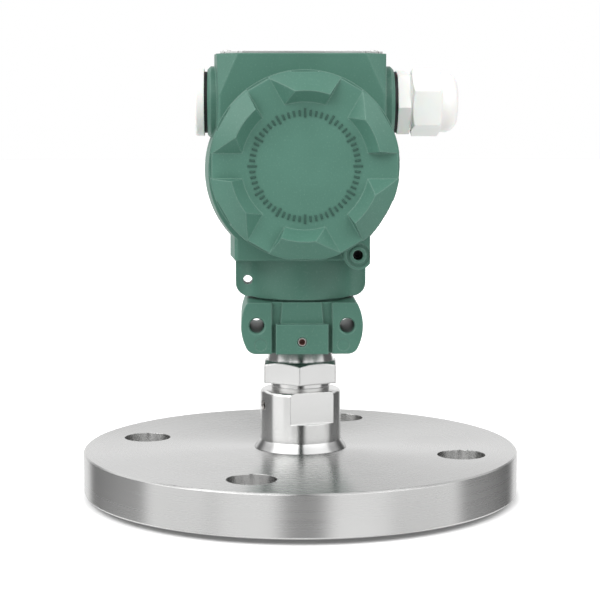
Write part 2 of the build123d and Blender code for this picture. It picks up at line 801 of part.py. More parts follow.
def make_cover(seat, label):
    """Screwed cover: ring, rim, six wedge-shaped pads, threaded skirt and a groove for its seal."""
    rim_top = cover_gap + cover_rim_height
    with BuildPart() as cover:
        turned(
            seat,
            [
                (0, rim_top - cover_roof),
                (cover_inner_radius, rim_top - cover_roof),
                (cover_inner_radius, -cover_skirt_length),
                (cover_thread_radius - thread_clearance, -cover_skirt_length),
                (cover_thread_radius - thread_clearance, -mouth_depth),
                (cover_groove_radius, -mouth_depth),
                (cover_groove_radius, cover_gap),
                (cover_ring_radius, cover_gap),
                (cover_ring_radius, cover_gap + cover_ring_thickness),
                (cover_rim_radius, cover_gap + cover_ring_thickness),
                (cover_rim_radius, rim_top - cover_rim_edge),
                (cover_rim_radius - cover_rim_edge, rim_top),
                (0, rim_top),
            ],
        )
        turned(
            seat,
            [
                (pad_foot_radius, rim_top),
                (cover_rim_radius - cover_rim_edge, rim_top),
                (pad_ridge_radius, rim_top + pad_rise),
            ],
        )
        for number in range(pad_count):
            channel_angle = number * 360 / pad_count
            with BuildSketch(sector_plane(seat, channel_angle)):
                with BuildLine():
                    Polyline(
                        (-channel_half_width, rim_top),
                        (channel_half_width, rim_top),
                        (channel_half_width + steep_wall_lean, rim_top + pad_rise),
                        (-channel_half_width - pad_rise, rim_top + pad_rise),
                        close=True,
                    )
                make_face()
            extrude(amount=cover_ring_radius, mode=Mode.SUBTRACT)
            notch_angle = channel_angle + 180 / pad_count
            for angle, end_radius, half_width in (
                (channel_angle, channel_end_radius, channel_half_width),
                (notch_angle, notch_radius, notch_half_width),
            ):
                with BuildSketch(sector_plane(seat, angle, end_radius)):
                    with Locations((0, rim_top)):
                        Rectangle(2 * half_width, 2 * (cover_rim_height - cover_ring_thickness))
                extrude(amount=cover_ring_radius - end_radius, mode=Mode.SUBTRACT)
    finish(cover, label)


for seat, label in ((front_seat, "front_cover"), (rear_seat, "rear_cover")):
    make_cover(seat, label)
    seal_radius = cover_groove_radius + seal_clearance + cover_oring_radius
    make_ring(seat, f"{label}_oring", seal_radius, cover_oring_radius, -mouth_depth / 2)

# Blanking plug with a domed, slotted head and a hollow threaded shank
with BuildPart() as blanking_plug:
    turned(
        plug_seat,
        [
            (plug_bore_radius, -conduit_thread_length),
            (hub_thread_radius, -conduit_thread_length),
            (hub_thread_radius, conduit_seal_thickness),
            (plug_head_radius, conduit_seal_thickness),
            (plug_head_radius, conduit_seal_thickness + plug_head_height - plug_dome),
            (plug_head_radius - plug_dome, conduit_seal_thickness + plug_head_height),
            (0, conduit_seal_thickness + plug_head_height + plug_dome),
            (0, conduit_seal_thickness),
            (plug_bore_radius, 0),
        ],
    )
    with BuildSketch(plug_seat.offset(conduit_seal_thickness + plug_head_height + plug_dome)):
        Rectangle(2 * plug_slot_half_length, plug_slot_width)
    extrude(amount=-plug_slot_depth, mode=Mode.SUBTRACT)
finish(blanking_plug, "blanking_plug")


def make_flat_seal(seat, label):
    """Flat sealing ring under the head of a conduit fitting."""
    with BuildPart() as flat_seal:
        with BuildSketch(seat):
            Circle(conduit_seal_radius)
            Circle(hub_thread_radius + seal_clearance, mode=Mode.SUBTRACT)
        extrude(amount=conduit_seal_thickness)
    finish(flat_seal, label)


make_flat_seal(plug_seat, "plug_seal")
make_flat_seal(gland_seat, "gland_oring")

# Gland body: threaded shank, hexagon, stub for the nut and a ring of clamping fingers
gland_hex_foot = conduit_seal_thickness
gland_hex_top = gland_hex_foot + gland_hex_height
stub_top = gland_hex_top + gland_stub_length
finger_top = stub_top + finger_length
finger_wall = finger_radius - gland_bore_radius
with BuildPart() as gland_body:
    with BuildSketch(gland_seat.offset(gland_hex_foot)):
        RegularPolygon(gland_hex_radius, 6, rotation=180 - gland_hex_turn)
    extrude(amount=gland_hex_height)
    turned(
        gland_seat,
        [
            (0, -conduit_thread_length),
            (hub_thread_radius, -conduit_thread_length),
            (hub_thread_radius, gland_hex_top),
            (gland_stub_radius, gland_hex_top),
            (gland_stub_radius, stub_top),
            (finger_radius, stub_top),
            (finger_radius, finger_top - finger_wall / 2),
            (finger_radius - finger_wall / 2, finger_top),
            (0, finger_top),
        ],
    )
    with BuildSketch(gland_seat.offset(finger_top)):
        Circle(gland_bore_radius)
    extrude(amount=-(finger_top + conduit_thread_length), mode=Mode.SUBTRACT)
    with BuildSketch(gland_seat.offset(finger_top)):
        for number in range(finger_count // 2):
            Rectangle(2 * gland_stub_radius, finger_slot, rotation=number * 360 / finger_count)
    extrude(amount=-finger_length, mode=Mode.SUBTRACT)
finish(gland_body, "gland_body")

# Rubber sleeve that grips the cable, with a collar in front of the fingers
nut_foot = gland_hex_top + nut_gap
nut_top = nut_foot + nut_hex_height + nut_dome_height
sleeve_front = nut_top - nut_lip - seal_clearance
with BuildPart() as gland_seal:
    turned(
        gland_seat,
        [
            (cable_radius, sleeve_front - seal_sleeve_length),
            (gland_bore_radius - seal_clearance, sleeve_front - seal_sleeve_length),
            (gland_bore_radius - seal_clearance, sleeve_front - seal_collar_length),
            (finger_radius - finger_wall / 2, sleeve_front - seal_collar_length),
            (finger_radius - finger_wall / 2, sleeve_front),
            (cable_radius, sleeve_front),
        ],
    )
finish(gland_seal, "gland_seal")

# Dome nut: hexagon, dome and an opening for the cable
with BuildPart() as gland_nut:
    with BuildSketch(gland_seat.offset(nut_foot)):
        RegularPolygon(nut_hex_radius, 6, rotation=180 - nut_hex_turn)
    extrude(amount=nut_hex_height)
    turned(
        gland_seat,
        [
            (0, nut_foot),
            (nut_hex_radius * cos(radians(30)), nut_foot),
            (nut_hex_radius + fit_clearance, nut_foot + hex_chamfer_rise / 2),
            (nut_hex_radius + fit_clearance, nut_foot + nut_hex_height - hex_chamfer_rise / 2),
            (nut_hex_radius * cos(radians(30)), nut_foot + nut_hex_height),
            (0, nut_foot + nut_hex_height),
        ],
        Mode.INTERSECT,
    )
    with BuildSketch(gland_seat.offset(nut_foot + nut_hex_height)):
        Circle(nut_dome_radius)
    extrude(amount=nut_dome_height)
    fillet(gland_nut.edges().filter_by(GeomType.CIRCLE).sort_by(Axis.X)[-1], nut_dome_corner)
    turned(
        gland_seat,
        [
            (0, nut_foot),
            (gland_stub_radius + thread_clearance, nut_foot),
            (gland_stub_radius + thread_clearance, stub_top + seal_clearance),
            (finger_radius + thread_clearance, stub_top + seal_clearance),
            (finger_radius + thread_clearance, nut_top - nut_dome_corner),
            (finger_radius - finger_wall / 2 + thread_clearance, nut_top - nut_lip),
            (nut_opening_radius, nut_top - nut_lip),
            (nut_opening_radius, nut_top),
            (0, nut_top),
        ],
        Mode.SUBTRACT,
    )
finish(gland_nut, "gland_nut")

# Name plate on top, left bare, and its two rivets
with BuildPart() as name_plate:
    with BuildSketch(Plane.XY.offset(housing_top)) as plate_outline:
        Rectangle(2 * (corner_x - plate_side_margin), 2 * (top_block_half_depth - plate_margin))
        chamfer(plate_outline.vertices(), top_corner_depth)
        with Locations((-rivet_x, 0), (rivet_x, 0)):
            Circle(rivet_shank_radius + fit_clearance, mode=Mode.SUBTRACT)
    extrude(amount=plate_thickness)
finish(name_plate, "name_plate")
with BuildPart() as rivets:
    for rivet_side in (-rivet_x, rivet_x):
        rivet_seat = Plane(origin=(rivet_side, 0, housing_top + plate_thickness), z_dir=(0, 0, 1))
        turned(
            rivet_seat,
            [
                (0, -rivet_shank_length),
                (rivet_shank_radius, -rivet_shank_length),
                (rivet_shank_radius, 0),
                (rivet_radius, 0),
                (rivet_radius * 0.8, rivet_height * 0.7),
                (0, rivet_height),
            ],
        )
finish(rivets, "name_plate_rivets")


def make_screws(seat, places, label, shank_radius, shank_length, head_radius, head_height):
    """Slotted screws whose heads stand on a plane, one solid at each place."""
    with BuildPart() as screws:
        with BuildSketch(seat):
            with Locations(*places):
                Circle(shank_radius)
        extrude(amount=-shank_length)
        with BuildSketch(seat):
            with Locations(*places):
                Circle(head_radius)
        extrude(amount=head_height)
        with BuildSketch(seat.offset(head_height)):
            with Locations(*places):
                Rectangle(2 * head_radius, screw_slot_width)
        extrude(amount=-screw_slot_depth, mode=Mode.SUBTRACT)
    finish(screws, label)


# Circuit board on its posts, with the parts soldered to it and its screws
board_face = side_plane(front_seat, board_thickness - board_y)
board_places = [
    (board_post_circle * cos(radians(angle)), axis_level + board_post_circle * sin(radians(angle)))
    for angle in (90 + number * 360 / board_post_count for number in range(board_post_count))
]
with BuildPart() as circuit_board:
    with BuildSketch(board_face):
        with Locations((0, axis_level)):
            Circle(board_radius)
        with Locations(*board_places):
            Circle(board_screw_radius + fit_clearance, mode=Mode.SUBTRACT)
    extrude(amount=-board_thickness)
finish(circuit_board, "circuit_board")
make_screws(
    board_face,
    board_places,
    "board_screws",
    board_screw_radius,
    board_thickness + board_screw_length - fit_clearance,
    board_screw_head,
    board_screw_head_height,
)
with BuildPart() as board_parts:
    with BuildSketch(board_face):
        with Locations((-chip_size, axis_level), (chip_size, axis_level - chip_size)):
            Rectangle(chip_size, chip_size)
    extrude(amount=chip_height)
    with BuildSketch(board_face):
        with Locations((chip_size, axis_level + chip_size), (-chip_size, axis_level + 1.5 * chip_size)):
            Circle(capacitor_radius)
    extrude(amount=capacitor_height)
    with BuildSketch(board_face):
        with Locations((0, axis_level - board_radius + header_width + board_screw_head)):
            Rectangle(header_length, header_width)
    extrude(amount=header_height)
finish(board_parts, "board_components")

# Rubber grommet in the partition, for the wires between the two chambers
grommet_seat = Plane(
    origin=(0, partition_front_y, axis_level - grommet_drop), x_dir=front_seat.x_dir, z_dir=front_seat.z_dir
)
with BuildPart() as grommet:
    turned(
        grommet_seat,
        [
            (grommet_bore, -partition_thickness - grommet_lip),
            (grommet_hole_radius + grommet_lip_width, -partition_thickness - grommet_lip),
            (grommet_hole_radius + grommet_lip_width, -partition_thickness),
            (grommet_hole_radius, -partition_thickness),
            (grommet_hole_radius, 0),
            (grommet_hole_radius + grommet_lip_width, 0),
            (grommet_hole_radius + grommet_lip_width, grommet_lip),
            (grommet_bore, grommet_lip),
        ],
    )
finish(grommet, "wire_grommet")

# Terminal block on the partition's rear face, with its wells, clamping screws and fixing screws
terminal_seat = side_plane(rear_seat, partition_rear_y)
terminal_places = [
    ((way - (terminal_ways - 1) / 2) * terminal_pitch, axis_level) for way in range(terminal_ways)
]
fixing_places = [(-fixing_x, axis_level), (fixing_x, axis_level)]
with BuildPart() as terminal_block:
    with BuildSketch(terminal_seat):
        with Locations((0, axis_level)):
            Rectangle(2 * (terminal_half_length + terminal_foot), terminal_height)
    extrude(amount=terminal_base)
    with BuildSketch(terminal_seat):
        with Locations((0, axis_level)):
            Rectangle(2 * terminal_half_length, terminal_height)
    extrude(amount=terminal_depth)
    with BuildSketch(terminal_seat.offset(terminal_depth)):
        with Locations(*terminal_places):
            Rectangle(terminal_pitch - terminal_wall, terminal_height)
    extrude(amount=-terminal_well_depth, mode=Mode.SUBTRACT)
    with BuildSketch(terminal_seat.offset(terminal_depth)):
        with Locations(*terminal_places):
            Circle(terminal_screw_radius + fit_clearance)
    extrude(amount=-terminal_well_depth - terminal_screw_length, mode=Mode.SUBTRACT)
    with BuildSketch(terminal_seat):
        with Locations(*fixing_places):
            Circle(board_screw_radius + fit_clearance)
    extrude(amount=terminal_base, mode=Mode.SUBTRACT)
finish(terminal_block, "terminal_block")
make_screws(
    terminal_seat.offset(terminal_depth - terminal_well_depth),
    terminal_places,
    "terminal_screws",
    terminal_screw_radius,
    terminal_screw_length - fit_clearance,
    terminal_screw_head,
    terminal_screw_head_height,
)
make_screws(
    terminal_seat.offset(terminal_base),
    fixing_places,
    "terminal_block_screws",
    board_screw_radius,
    fixing_screw_length - fit_clearance,
    terminal_foot / 2 - fit_clearance,
    board_screw_head_height,
)

# Earth screw on its post in the terminal chamber
make_screws(
    terminal_seat.offset(ground_post_height),
    [(ground_post_x, axis_level - ground_post_drop)],
    "ground_screw",
    terminal_screw_radius,
    ground_screw_length - fit_clearance,
    terminal_screw_head,
    terminal_screw_head_height,
)
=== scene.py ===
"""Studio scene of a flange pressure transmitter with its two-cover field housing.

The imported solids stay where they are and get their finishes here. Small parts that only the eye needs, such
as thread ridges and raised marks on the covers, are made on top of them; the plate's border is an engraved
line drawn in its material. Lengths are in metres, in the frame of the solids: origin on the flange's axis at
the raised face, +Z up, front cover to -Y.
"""

from __future__ import annotations

import json
import logging
import math
from dataclasses import dataclass
from enum import Enum
from typing import Any, Union

import bmesh
import bpy
from mathutils import Matrix, Vector

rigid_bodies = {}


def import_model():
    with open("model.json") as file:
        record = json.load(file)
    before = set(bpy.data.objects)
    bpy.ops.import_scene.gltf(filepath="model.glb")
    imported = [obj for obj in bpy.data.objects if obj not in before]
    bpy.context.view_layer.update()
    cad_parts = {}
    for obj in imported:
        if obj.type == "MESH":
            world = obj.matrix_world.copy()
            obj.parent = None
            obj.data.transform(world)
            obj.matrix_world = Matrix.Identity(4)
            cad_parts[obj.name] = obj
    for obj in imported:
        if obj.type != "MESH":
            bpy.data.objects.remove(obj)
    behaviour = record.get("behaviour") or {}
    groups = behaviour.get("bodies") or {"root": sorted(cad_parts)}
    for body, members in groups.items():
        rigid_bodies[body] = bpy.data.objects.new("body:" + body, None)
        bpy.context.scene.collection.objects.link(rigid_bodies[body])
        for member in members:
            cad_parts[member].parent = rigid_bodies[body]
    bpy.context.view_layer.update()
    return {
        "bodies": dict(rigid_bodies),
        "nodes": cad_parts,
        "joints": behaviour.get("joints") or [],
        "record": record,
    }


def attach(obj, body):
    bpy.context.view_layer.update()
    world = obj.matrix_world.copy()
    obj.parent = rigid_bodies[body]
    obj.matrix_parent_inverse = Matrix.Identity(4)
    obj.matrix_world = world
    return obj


log = logging.getLogger("transmitter")

Colour = tuple[float, float, float]
MM = 0.001
SHARP_ANGLE = math.radians(35)
MERGE_DISTANCE = 0.0001 * MM


class Facing(Enum):
    """Direction in which a screwed part comes off, as a unit vector."""

    FRONT = (0.0, -1.0, 0.0)
    REAR = (0.0, 1.0, 0.0)
    RIGHT = (1.0, 0.0, 0.0)
    LEFT = (-1.0, 0.0, 0.0)

    def turn(self) -> Matrix:
        """Rotation that takes +Z to this direction and keeps a side edge level."""
        return Vector(self.value).to_track_quat("Z", "Y").to_matrix().to_4x4()


class Wire:
    """A value in a material that can be used in sums, products and comparisons."""

    def __init__(self, graph: "Graph", socket: bpy.types.NodeSocket) -> None:
        """Hold an output socket and the graph it belongs to."""
        self.graph = graph
        self.socket = socket

    def _math(self, operation: str, first: "Value", second: "Value") -> "Wire":
        """Add one Math node.

        Args:
            operation: Name of the Math operation.
            first: Upper value.
            second: Lower value.

        Returns:
            The node's result.
        """
        return self.graph.node("ShaderNodeMath", {"operation": operation}, {0: first, 1: second})

    def __add__(self, other: "Value") -> "Wire":
        """Sum of two values."""
        return self._math("ADD", self, other)

    def __radd__(self, other: "Value") -> "Wire":
        """Sum with a plain number first."""
        return self._math("ADD", other, self)

    def __sub__(self, other: "Value") -> "Wire":
        """Difference of two values."""
        return self._math("SUBTRACT", self, other)

    def __rsub__(self, other: "Value") -> "Wire":
        """Difference with a plain number first."""
        return self._math("SUBTRACT", other, self)

    def __mul__(self, other: "Value") -> "Wire":
        """Product of two values."""
        return self._math("MULTIPLY", self, other)

    def __rmul__(self, other: "Value") -> "Wire":
        """Product with a plain number first."""
        return self._math("MULTIPLY", other, self)

    def __truediv__(self, other: "Value") -> "Wire":
        """Quotient of two values."""
        return self._math("DIVIDE", self, other)

    def __gt__(self, other: "Value") -> "Wire":
        """One where this value is the greater, otherwise nought."""
        return self._math("GREATER_THAN", self, other)

    def __abs__(self) -> "Wire":
        """Size of a value without its sign."""
        return self._math("ABSOLUTE", self, 0.0)

    def clipped(self) -> "Wire":
        """This value held between nought and one."""
        return self.graph.node("ShaderNodeClamp", {}, {"Value": self})

    def smooth(self, low: float, high: float) -> "Wire":
        """Soft step of this value.

        Args:
            low: Value where the step starts from nought.
            high: Value where it reaches one.

        Returns:
            The step, between nought and one.
        """
        ends = {"Value": self, "From Min": low, "From Max": high, "To Min": 0.0, "To Max": 1.0}
        return self.graph.node("ShaderNodeMapRange", {"interpolation_type": "SMOOTHSTEP"}, ends)


Value = Union[Wire, float, int]


class Graph:
    """The nodes of a material or of the room's light, written as expressions."""

    def __init__(self, owner: Union[bpy.types.Material, bpy.types.World], shader: str, output: str) -> None:
        """Start an empty tree with one shader.

        Args:
            owner: Material or world that holds the tree.
            shader: Type of the shader node.
            output: Type of the output node.
        """
        owner.use_nodes = True
        self.tree = owner.node_tree
        self.tree.nodes.clear()
        self.shader = self.tree.nodes.new(shader)
        self.tree.links.new(self.shader.outputs[0], self.tree.nodes.new(output).inputs["Surface"])

    def put(self, socket: bpy.types.NodeSocket, value: Any) -> None:
        """Link a wire to a socket, or set a plain value on it."""
        if isinstance(value, Wire):
            self.tree.links.new(value.socket, socket)
        else:
            socket.default_value = value

    def node(
        self,
        kind: str,
        settings: dict[str, Any],
        inputs: dict[Union[int, str], Any],
        output: Union[int, str] = 0,
    ) -> Wire:
        """Add one node.

        Args:
            kind: Type of the node.
            settings: Properties set before its sockets.
            inputs: Socket names or numbers with a plain value or a wire each.
            output: Name or number of the socket that is returned.

        Returns:
            The chosen output.
        """
        made = self.tree.nodes.new(kind)
        for name, value in settings.items():
            setattr(made, name, value)
        for key, value in inputs.items():
            self.put(made.inputs[key], value)
        return Wire(self, made.outputs[output])

    def place(self) -> Wire:
        """Coordinates of the object, in metres."""
        return self.node("ShaderNodeTexCoord", {}, {}, "Object")

    def axes(self, place: Wire) -> tuple[Wire, Wire, Wire]:
        """The three coordinates of a place."""
        return tuple(self.node("ShaderNodeSeparateXYZ", {}, {0: place}, axis) for axis in range(3))

    def vector(self, x: Value, y: Value, z: Value) -> Wire:
        """A vector of three values."""
        return self.node("ShaderNodeCombineXYZ", {}, {0: x, 1: y, 2: z})

    def noise(self, place: Wire, scale: float, detail: float = 2.0, roughness: float = 0.5) -> Wire:
        """Smooth noise between nought and one.

        Args:
            place: Where the noise is read.
            scale: Features for each unit of length.
            detail: Number of finer layers.
            roughness: Share of the finer layers.

        Returns:
            The noise.
        """
        sizes = {"Vector": place, "Scale": scale, "Detail": detail, "Roughness": roughness}
        return self.node("ShaderNodeTexNoise", {}, sizes)

    def cells(self, place: Wire, scale: float) -> Wire:
        """Distance to the nearest point of a scattered grid."""
        return self.node("ShaderNodeTexVoronoi", {}, {"Vector": place, "Scale": scale})

    def root(self, value: Wire) -> Wire:
        """Square root of a value."""
        return self.node("ShaderNodeMath", {"operation": "SQRT"}, {0: value})

    def angle(self, up: Wire, across: Wire) -> Wire:
        """Angle of a point round an axis, in radians."""
        return self.node("ShaderNodeMath", {"operation": "ARCTAN2"}, {0: up, 1: across})

    def wave(self, value: Wire) -> Wire:
        """Sine of a value."""
        return self.node("ShaderNodeMath", {"operation": "SINE"}, {0: value})

    def upper(self, first: Value, second: Value) -> Wire:
        """The greater of two values."""
        return self.node("ShaderNodeMath", {"operation": "MAXIMUM"}, {0: first, 1: second})

    def blend(self, factor: Value, first: Any, second: Any) -> Wire:
        """Mix two colours.

        Args:
            factor: Share of the second colour.
            first: Colour or wire where the factor is nought.
            second: Colour or wire where the factor is one.

        Returns:
            The mixed colour.
        """
        colours = {0: factor}
        for key, colour in ((6, first), (7, second)):
            colours[key] = colour if isinstance(colour, Wire) else (*colour, 1.0)
        return self.node("ShaderNodeMix", {"data_type": "RGBA"}, colours, 2)

    def rounded(self, radius: float) -> Wire:
        """Normal of the surface with its edges rounded to a radius."""
        return self.node("ShaderNodeBevel", {"samples": 6}, {"Radius": radius})

    def edges(self, rounded: Wire, gain: float) -> Wire:
        """Mask of the edges.

        Args:
            rounded: Normal with rounded edges.
            gain: How fast the mask rises towards an edge.

        Returns:
            One along the edges and nought on the faces.
        """
        flat = self.node("ShaderNodeNewGeometry", {}, {}, "Normal")
        same = self.node("ShaderNodeVectorMath", {"operation": "DOT_PRODUCT"}, {0: rounded, 1: flat}, "Value")
        return ((1.0 - same) * gain).clipped()

    def relief(self, height: Wire, distance: float, strength: float, normal: Wire) -> Wire:
        """Turn a height into a normal.

        Args:
            height: Height of the surface, between nought and one.
            distance: Depth in metres that one unit of height stands for.
            strength: Share of the relief that is used.
            normal: Normal that the relief is laid on.

        Returns:
            The new normal.
        """
        sizes = {"Strength": strength, "Distance": distance, "Height": height, "Normal": normal}
        return self.node("ShaderNodeBump", {}, sizes)

    def finish(self, **sockets: Any) -> None:
        """Set the shader's sockets.

        Args:
            sockets: Socket names, with underlines for spaces, and their values.
        """
        for name, value in sockets.items():
            self.put(self.shader.inputs[name.replace("_", " ")], value)


class Surface(Graph):
    """The nodes of one material with a general surface shader."""

    def __init__(self, name: str) -> None:
        """Start an empty material."""
        self.material = bpy.data.materials.new(name)
        super().__init__(self.material, "ShaderNodeBsdfPrincipled", "ShaderNodeOutputMaterial")

    def done(self, **sockets: Any) -> bpy.types.Material:
        """Set the shader's sockets and give back the material."""
        self.finish(**sockets)
        return self.material


@dataclass(frozen=True)
class PowderCoat:
    """Powder coat on a die casting: fine orange peel, softened edges and a lighter line along them, partly
    worn where the coat is thin and partly a painted highlight.
    """

    name: str = "green_powder_coat"
    colour: Colour = (0.070, 0.182, 0.137)
    shade: Colour = (0.062, 0.163, 0.122)
    edge: Colour = (0.240, 0.400, 0.335)
    edge_radius: float = 0.75 * MM
    peel: float = 1500.0

    def material(self) -> bpy.types.Material:
        """Build the coat's nodes."""
        graph = Surface(self.name)
        place = graph.place()
        cloud = graph.noise(place, 45.0, 3.0)
        grain = graph.noise(place, self.peel, 2.0)
        speck = graph.cells(place, 2.4 * self.peel)
        rounded = graph.rounded(self.edge_radius)
        # Lighter edges: partly worn where the coat is thin, partly a painted highlight.
        wear_and_highlight = graph.edges(rounded, 6.0) * (0.35 + 0.65 * graph.noise(place, 160.0, 2.0))
        colour = graph.blend(cloud.smooth(0.3, 0.7), self.shade, self.colour)
        colour = graph.blend(grain.smooth(0.55, 0.75) * 0.12, colour, self.edge)
        colour = graph.blend(wear_and_highlight * 0.55, colour, self.edge)
        roughness = 0.43 + 0.10 * cloud - 0.06 * grain
        normal = graph.relief(grain + 0.25 * speck, 0.045 * MM, 0.55, rounded)
        return graph.done(Base_Color=colour, Roughness=roughness, Normal=normal, Specular_IOR_Level=0.42)


@dataclass(frozen=True)
class TurnedSteel:
    """Stainless steel off the lathe: fine grooves round the Z axis on faces and sides alike, edges lightened
    partly by being worn and partly as a painted highlight, and painted shade darkening it below a given
    level.
    """

    name: str = "turned_stainless"
    colour: Colour = (0.55, 0.55, 0.545)
    stain: Colour = (0.46, 0.455, 0.45)
    grooves: float = 2600.0
    depth: float = 0.0008 * MM
    roughness: float = 0.27
    spread: float = 0.92
    edge_radius: float = 0.35 * MM
    wear_and_highlight: float = 0.5
    # Painted shade: below the foot level the steel is darkened towards a dark colour, up to a given share.
    foot: float = 2.0 * MM
    foot_height: float = 0.5 * MM
    foot_shade_share: float = 0.85
    foot_shade: Colour = (0.10, 0.10, 0.10)

    def material(self) -> bpy.types.Material:
        """Build the steel's nodes."""
        graph = Surface(self.name)
        place = graph.place()
        x, y, z = graph.axes(place)
        radius = graph.root(x * x + y * y)
        angle = graph.angle(y, x)
        ring = graph.vector(radius * self.grooves, z * self.grooves, angle * 0.9)
        broad = graph.vector(radius * 0.22 * self.grooves, z * 0.22 * self.grooves, angle * 0.5)
        fine = graph.noise(ring, 1.0, 2.0, 0.65)
        wide = graph.noise(broad, 1.0, 1.0)
        smear = graph.noise(place, 38.0, 3.0)
        rounded = graph.rounded(self.edge_radius)
        shine = graph.edges(rounded, 5.0)
        colour = graph.blend(smear.smooth(0.4, 0.8) * 0.25 + 0.10 * fine, self.colour, self.stain)
        # Lighter edges: partly worn, partly a painted highlight.
        colour = graph.blend(shine * self.wear_and_highlight, colour, (0.70, 0.70, 0.69))
        # Painted shade: the steel darkens below the foot level.
        painted_shade = 1.0 - z.smooth(self.foot + 0.2 * self.foot_height, self.foot + self.foot_height)
        colour = graph.blend(painted_shade * self.foot_shade_share, colour, self.foot_shade)
        roughness = self.roughness + 0.04 * (wide - 0.5) + 0.05 * (smear - 0.5) + 0.04 * (fine - 0.5)
        normal = graph.relief(fine + 0.25 * wide, self.depth, 0.9, rounded)
        return graph.done(
            Base_Color=colour,
            Roughness=roughness,
            Normal=normal,
            Metallic=1.0,
            Anisotropic=self.spread,
            Anisotropic_Rotation=0.25,
        )


@dataclass(frozen=True)
class SheetSteel:
    """Rolled stainless sheet with a straight fine grain, and an engraved border line where it is a plate."""

    name: str = "rolled_sheet"
    colour: Colour = (0.68, 0.68, 0.67)
    stain: Colour = (0.56, 0.56, 0.55)
    grain: float = 3200.0
    border_x: float = 0.0
    border_y: float = 0.0

    def material(self) -> bpy.types.Material:
        """Build the sheet's nodes."""
        graph = Surface(self.name)
        place = graph.place()
        x, y, z = graph.axes(place)
        lines = graph.noise(graph.vector(x * 60.0, y * self.grain, z * self.grain), 1.0, 2.0)
        smear = graph.noise(place, 70.0, 2.0)
        rounded = graph.rounded(0.2 * MM)
        height = lines * 0.5
        colour = graph.blend(smear * 0.5 + lines * 0.3, self.colour, self.stain)
        if self.border_x:
            inset = graph.upper(abs(x) - self.border_x, abs(y) - self.border_y)
            line = 1.0 - (abs(inset) / (0.3 * MM)).clipped()
            height = height - 3.0 * line
            colour = graph.blend(line * 0.7, colour, (0.16, 0.16, 0.16))
        normal = graph.relief(height, 0.02 * MM, 0.8, rounded)
        roughness = 0.24 + 0.12 * smear + 0.06 * lines
        return graph.done(Base_Color=colour, Roughness=roughness, Normal=normal, Metallic=1.0)


@dataclass(frozen=True)
class PlatedMetal:
    """Small turned or plated metal parts: slight pitting, darker patches of stain and lighter edges."""

    name: str = "zinc_plate"
    colour: Colour = (0.44, 0.42, 0.39)
    stain: Colour = (0.20, 0.12, 0.08)
    stain_share: float = 0.35
    roughness: float = 0.34

    def material(self) -> bpy.types.Material:
        """Build the metal's nodes."""
        graph = Surface(self.name)
        place = graph.place()
        grain = graph.noise(place, 2600.0, 2.0)
        patch = graph.noise(place, 420.0, 3.0)
        rounded = graph.rounded(0.15 * MM)
        shine = graph.edges(rounded, 4.0)
        colour = graph.blend(patch.smooth(0.35, 0.8) * self.stain_share, self.colour, self.stain)
        colour = graph.blend(shine * 0.5, colour, tuple(min(1.0, 1.4 * part) for part in self.colour))
        normal = graph.relief(grain + 0.5 * patch, 0.02 * MM, 0.7, rounded)
        roughness = self.roughness + 0.16 * (patch - 0.5) + 0.08 * grain
        return graph.done(Base_Color=colour, Roughness=roughness, Normal=normal, Metallic=1.0)


BRASS = PlatedMetal(name="plain_brass", colour=(0.70, 0.50, 0.22), stain=(0.33, 0.20, 0.08))


@dataclass(frozen=True)
class LockedScrew:
    """Bright set screw with brown locking resin in its socket."""

    name: str = "locked_set_screw"
    steel: Colour = (0.66, 0.65, 0.63)
    resin: Colour = (0.12, 0.035, 0.022)
    level: float = 60.9 * MM
    socket_radius: float = 1.15 * MM

    def material(self) -> bpy.types.Material:
        """Build the screw's nodes."""
        graph = Surface(self.name)
        place = graph.place()
        x, _, z = graph.axes(place)
        up = z - self.level
        radius = graph.root(x * x + up * up)
        bright = radius.smooth(self.socket_radius - 0.05 * MM, self.socket_radius + 0.15 * MM)
        patch = graph.noise(place, 900.0, 3.0)
        grain = graph.noise(place, 2600.0, 2.0)
        resin = graph.blend(patch.smooth(0.4, 0.7) * 0.6, self.resin, (0.26, 0.12, 0.08))
        steel = graph.blend(grain * 0.3, self.steel, (0.45, 0.44, 0.42))
        normal = graph.relief(grain + patch, 0.02 * MM, 0.7, graph.rounded(0.15 * MM))
        roughness = 0.30 + 0.20 * (1.0 - bright) + 0.08 * grain
        return graph.done(
            Base_Color=graph.blend(bright, resin, steel), Roughness=roughness, Normal=normal, Metallic=bright
        )


@dataclass(frozen=True)
class MouldedNylon:
    """White moulded nylon: fine spark texture, slightly see-through edges and faint soiling."""

    name: str = "white_nylon"
    colour: Colour = (0.845, 0.84, 0.82)
    shade: Colour = (0.805, 0.80, 0.78)
    texture: float = 2200.0

    def material(self) -> bpy.types.Material:
        """Build the nylon's nodes."""
        graph = Surface(self.name)
        place = graph.place()
        spark = graph.noise(place, self.texture, 3.0)
        cloud = graph.noise(place, 90.0, 2.0)
        rounded = graph.rounded(0.5 * MM)
        worn = graph.edges(rounded, 3.0)
        colour = graph.blend(cloud.smooth(0.35, 0.8) * 0.8, self.colour, self.shade)
        colour = graph.blend(worn * 0.35, colour, (0.93, 0.93, 0.92))
        normal = graph.relief(spark, 0.03 * MM, 0.5, rounded)
        roughness = 0.36 + 0.10 * cloud + 0.06 * spark
        return graph.done(
            Base_Color=colour,
            Roughness=roughness,
            Normal=normal,
            Subsurface_Weight=0.18,
            Subsurface_Scale=0.0012,
            Specular_IOR_Level=0.22,
        )


